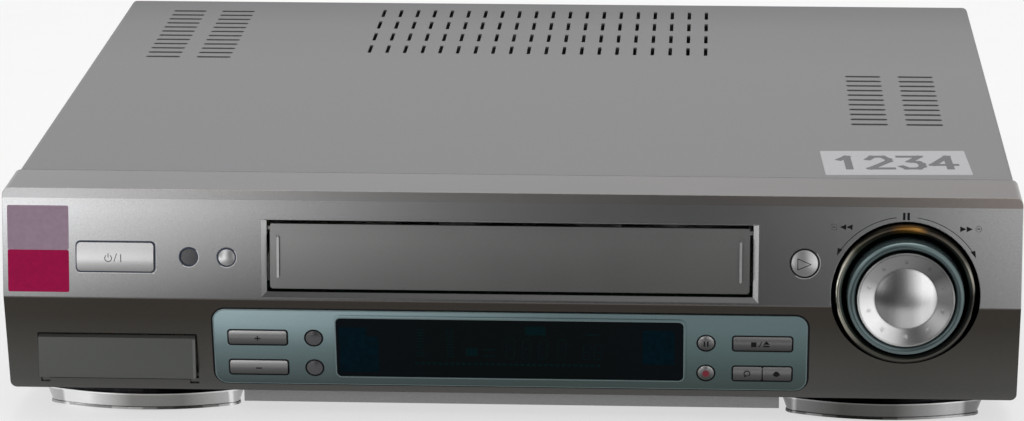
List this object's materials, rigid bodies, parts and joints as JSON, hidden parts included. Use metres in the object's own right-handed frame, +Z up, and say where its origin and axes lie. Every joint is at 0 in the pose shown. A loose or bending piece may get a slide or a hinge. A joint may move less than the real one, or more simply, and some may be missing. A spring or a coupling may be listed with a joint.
{
  "type": "video cassette recorder",
  "caption": "Front-loading video cassette recorder with a hinged cassette door, moving carriage, tape transport, jog and shuttle dial, socket flap and push buttons.",
  "frame": {"origin": "on the table under the middle of the overall box", "axes": "+X to the right seen from the front, +Y to the back, +Z up"},
  "size_m": [0.4, 0.3546, 0.094],
  "materials": {
    "cover_paint": "satin",
    "silver_plastic": "satin metallic",
    "grey_plastic": "satin",
    "pale_steel": "satin",
    "zinc_steel": "satin",
    "chrome_trim": "polished",
    "dark_chrome": "polished",
    "dial_silver": "metallic",
    "teal_plastic": "satin",
    "window_black": "gloss",
    "black_plastic": "satin",
    "black_rubber": "matte",
    "board_green": "satin",
    "board_tan": "satin",
    "white_plastic": "satin",
    "bare_aluminium": "turned"
  },
  "bodies": {
    "cabinet": {"top_cover": "cover_paint", "front_bezel": "silver_plastic", "bottom_chassis": "pale_steel", "rear_panel": "zinc_steel", "front_feet": "chrome_trim", "rear_feet": "black_plastic", "foot_pads": "black_rubber", "cover_screws": "zinc_steel", "control_panel": "teal_plastic", "display_window": "window_black", "display_tube": "black_plastic", "front_sockets": "black_plastic", "dial_encoder": "black_plastic", "front_board": "board_green", "deck_plate": "zinc_steel", "lower_drum": "bare_aluminium", "capstan_motor": "board_green", "loading_motor": "zinc_steel", "erase_head": "zinc_steel", "control_head": "zinc_steel", "carriage_frame": "zinc_steel", "main_board": "board_green", "rear_sockets": "black_plastic", "tuner_module": "zinc_steel", "power_supply": "board_tan", "mains_inlet": "black_plastic", "heat_sink": "bare_aluminium"},
    "door": {"cassette_door": "silver_plastic", "door_spring": "zinc_steel"},
    "flap": {"av_flap": "grey_plastic"},
    "power": {"power_button": "silver_plastic"},
    "mode": {"mode_button": "grey_plastic"},
    "speed": {"speed_button": "silver_plastic"},
    "play": {"play_button": "silver_plastic"},
    "channel_up": {"channel_up_button": "silver_plastic"},
    "channel_down": {"channel_down_button": "silver_plastic"},
    "upper_function": {"upper_function_button": "grey_plastic"},
    "lower_function": {"lower_function_button": "grey_plastic"},
    "pause": {"pause_button": "silver_plastic"},
    "record": {"record_button": "silver_plastic"},
    "stop_eject": {"stop_eject_button": "silver_plastic"},
    "insert": {"insert_button": "silver_plastic"},
    "dub": {"dub_button": "silver_plastic"},
    "shuttle": {"shuttle_ring": "dark_chrome", "shuttle_trim": "teal_plastic"},
    "jog": {"jog_dial": "dial_silver"},
    "drum": {"upper_drum": "bare_aluminium"},
    "capstan": {"capstan_flywheel": "zinc_steel"},
    "pinch": {"pinch_arm": "zinc_steel"},
    "roller": {"pinch_roller": "black_rubber"},
    "supply_reel": {"supply_reel": "white_plastic"},
    "takeup_reel": {"takeup_reel": "white_plastic"},
    "idler": {"idler_arm": "white_plastic"},
    "idler_gear": {"idler_wheel": "white_plastic"},
    "cam": {"cam_gear": "white_plastic"},
    "worm": {"loading_worm": "white_plastic"},
    "supply_guide": {"supply_guide": "zinc_steel"},
    "takeup_guide": {"takeup_guide": "zinc_steel"},
    "carriage": {"carriage_slide": "zinc_steel"},
    "carrier": {"cassette_carrier": "zinc_steel"}
  },
  "joints": [
    {"name": "cassette_door_hinge", "type": "hinge", "parent": "cabinet", "child": "door", "pos_m": [0, -0.16372, 0.07843], "axis": [1, 0, 0], "range_deg": [0, 80], "stiffness_Nm_per_rad": 0.002, "springref_deg": -17.19},
    {"name": "flap_hinge", "type": "hinge", "parent": "cabinet", "child": "flap", "pos_m": [-0.1558, -0.1635, 0.0174], "axis": [1, 0, 0], "range_deg": [0, 80]},
    {"name": "power_press", "type": "slide", "parent": "cabinet", "child": "power", "axis": [0, 0.9925, -0.1219], "range_m": [0, 0.0006], "stiffness_N_per_m": 600, "springref_m": -0.0004},
    {"name": "mode_press", "type": "slide", "parent": "cabinet", "child": "mode", "axis": [0, 0.9925, -0.1219], "range_m": [0, 0.0006], "stiffness_N_per_m": 600, "springref_m": -0.0004},
    {"name": "speed_press", "type": "slide", "parent": "cabinet", "child": "speed", "axis": [0, 0.9925, -0.1219], "range_m": [0, 0.0006], "stiffness_N_per_m": 600, "springref_m": -0.0004},
    {"name": "play_press", "type": "slide", "parent": "cabinet", "child": "play", "axis": [0, 0.9925, -0.1219], "range_m": [0, 0.0006], "stiffness_N_per_m": 600, "springref_m": -0.0004},
    {"name": "channel_up_press", "type": "slide", "parent": "cabinet", "child": "channel_up", "axis": [0, 0.9792, 0.2028], "range_m": [0, 0.0006], "stiffness_N_per_m": 600, "springref_m": -0.0004},
    {"name": "channel_down_press", "type": "slide", "parent": "cabinet", "child": "channel_down", "axis": [0, 0.9792, 0.2028], "range_m": [0, 0.0006], "stiffness_N_per_m": 600, "springref_m": -0.0004},
    {"name": "upper_function_press", "type": "slide", "parent": "cabinet", "child": "upper_function", "axis": [0, 0.9792, 0.2028], "range_m": [0, 0.0006], "stiffness_N_per_m": 600, "springref_m": -0.0004},
    {"name": "lower_function_press", "type": "slide", "parent": "cabinet", "child": "lower_function", "axis": [0, 0.9792, 0.2028], "range_m": [0, 0.0006], "stiffness_N_per_m": 600, "springref_m": -0.0004},
    {"name": "pause_press", "type": "slide", "parent": "cabinet", "child": "pause", "axis": [0, 0.9792, 0.2028], "range_m": [0, 0.0006], "stiffness_N_per_m": 600, "springref_m": -0.0004},
    {"name": "record_press", "type": "slide", "parent": "cabinet", "child": "record", "axis": [0, 0.9792, 0.2028], "range_m": [0, 0.0006], "stiffness_N_per_m": 600, "springref_m": -0.0004},
    {"name": "stop_eject_press", "type": "slide", "parent": "cabinet", "child": "stop_eject", "axis": [0, 0.9792, 0.2028], "range_m": [0, 0.0006], "stiffness_N_per_m": 600, "springref_m": -0.0004},
    {"name": "insert_press", "type": "slide", "parent": "cabinet", "child": "insert", "axis": [0, 0.9792, 0.2028], "range_m": [0, 0.0006], "stiffness_N_per_m": 600, "springref_m": -0.0004},
    {"name": "dub_press", "type": "slide", "parent": "cabinet", "child": "dub", "axis": [0, 0.9792, 0.2028], "range_m": [0, 0.0006], "stiffness_N_per_m": 600, "springref_m": -0.0004},
    {"name": "shuttle_turn", "type": "hinge", "parent": "cabinet", "child": "shuttle", "pos_m": [0.155, -0.1717, 0.0556], "axis": [0, 1, 0], "range_deg": [-60, 60], "stiffness_Nm_per_rad": 0.02},
    {"name": "jog_spin", "type": "hinge", "parent": "cabinet", "child": "jog", "pos_m": [0.155, -0.1717, 0.0556], "axis": [0, 1, 0], "continuous": true},
    {"name": "drum_spin", "type": "hinge", "parent": "cabinet", "child": "drum", "pos_m": [-0.006, 0.0663, 0.052], "axis": [0, 0.1045, 0.9945], "continuous": true},
    {"name": "capstan_spin", "type": "hinge", "parent": "cabinet", "child": "capstan", "pos_m": [0.07, 0.0403, 0.024], "axis": [0, 0, 1], "continuous": true},
    {"name": "pinch_arm_hinge", "type": "hinge", "parent": "cabinet", "child": "pinch", "pos_m": [0.092, 0.0503, 0.04], "axis": [0, 0, 1], "range_deg": [0, 18], "stiffness_Nm_per_rad": 0.01, "springref_deg": -5.73},
    {"name": "pinch_roller_spin", "type": "hinge", "parent": "pinch", "child": "roller", "pos_m": [0.07069, 0.05534, 0.04], "axis": [0, 0, 1], "continuous": true},
    {"name": "supply_reel_spin", "type": "hinge", "parent": "cabinet", "child": "supply_reel", "pos_m": [-0.046, -0.0267, 0.035], "axis": [0, 0, 1], "continuous": true},
    {"name": "takeup_reel_spin", "type": "hinge", "parent": "cabinet", "child": "takeup_reel", "pos_m": [0.046, -0.0267, 0.035], "axis": [0, 0, 1], "continuous": true},
    {"name": "idler_swing", "type": "hinge", "parent": "cabinet", "child": "idler", "pos_m": [0, 0.0063, 0.033], "axis": [0, 0, 1], "range_deg": [-28, 28]},
    {"name": "idler_wheel_spin", "type": "hinge", "parent": "idler", "child": "idler_gear", "pos_m": [0, -0.0237, 0.033], "axis": [0, 0, 1], "continuous": true},
    {"name": "cam_turn", "type": "hinge", "parent": "cabinet", "child": "cam", "pos_m": [-0.091, 0.0543, 0.041], "axis": [0, 0, 1], "range_deg": [0, 180]},
    {"name": "worm_turn", "type": "hinge", "parent": "cabinet", "child": "worm", "pos_m": [-0.0674, 0.0573, 0.041], "axis": [0, 1, 0], "range_deg": [0, 8280]},
    {"name": "supply_guide_slide", "type": "slide", "parent": "cabinet", "child": "supply_guide", "axis": [-0.0872, 0.9962, 0], "range_m": [0, 0.042]},
    {"name": "takeup_guide_slide", "type": "slide", "parent": "cabinet", "child": "takeup_guide", "axis": [0.0872, 0.9962, 0], "range_m": [0, 0.042]},
    {"name": "carriage_in", "type": "slide", "parent": "cabinet", "child": "carriage", "axis": [0, 1, 0], "range_m": [0, 0.062]},
    {"name": "carrier_drop", "type": "slide", "parent": "carriage", "child": "carrier", "axis": [0, 0, -1], "range_m": [0, 0.018]}
  ],
  "couplings": [
    {"joint": "takeup_guide_slide", "follows": "supply_guide_slide", "ratio": 1},
    {"joint": "cam_turn", "follows": "supply_guide_slide", "rad_per_m": 74.79},
    {"joint": "worm_turn", "follows": "supply_guide_slide", "rad_per_m": 3440.3}
  ]
}
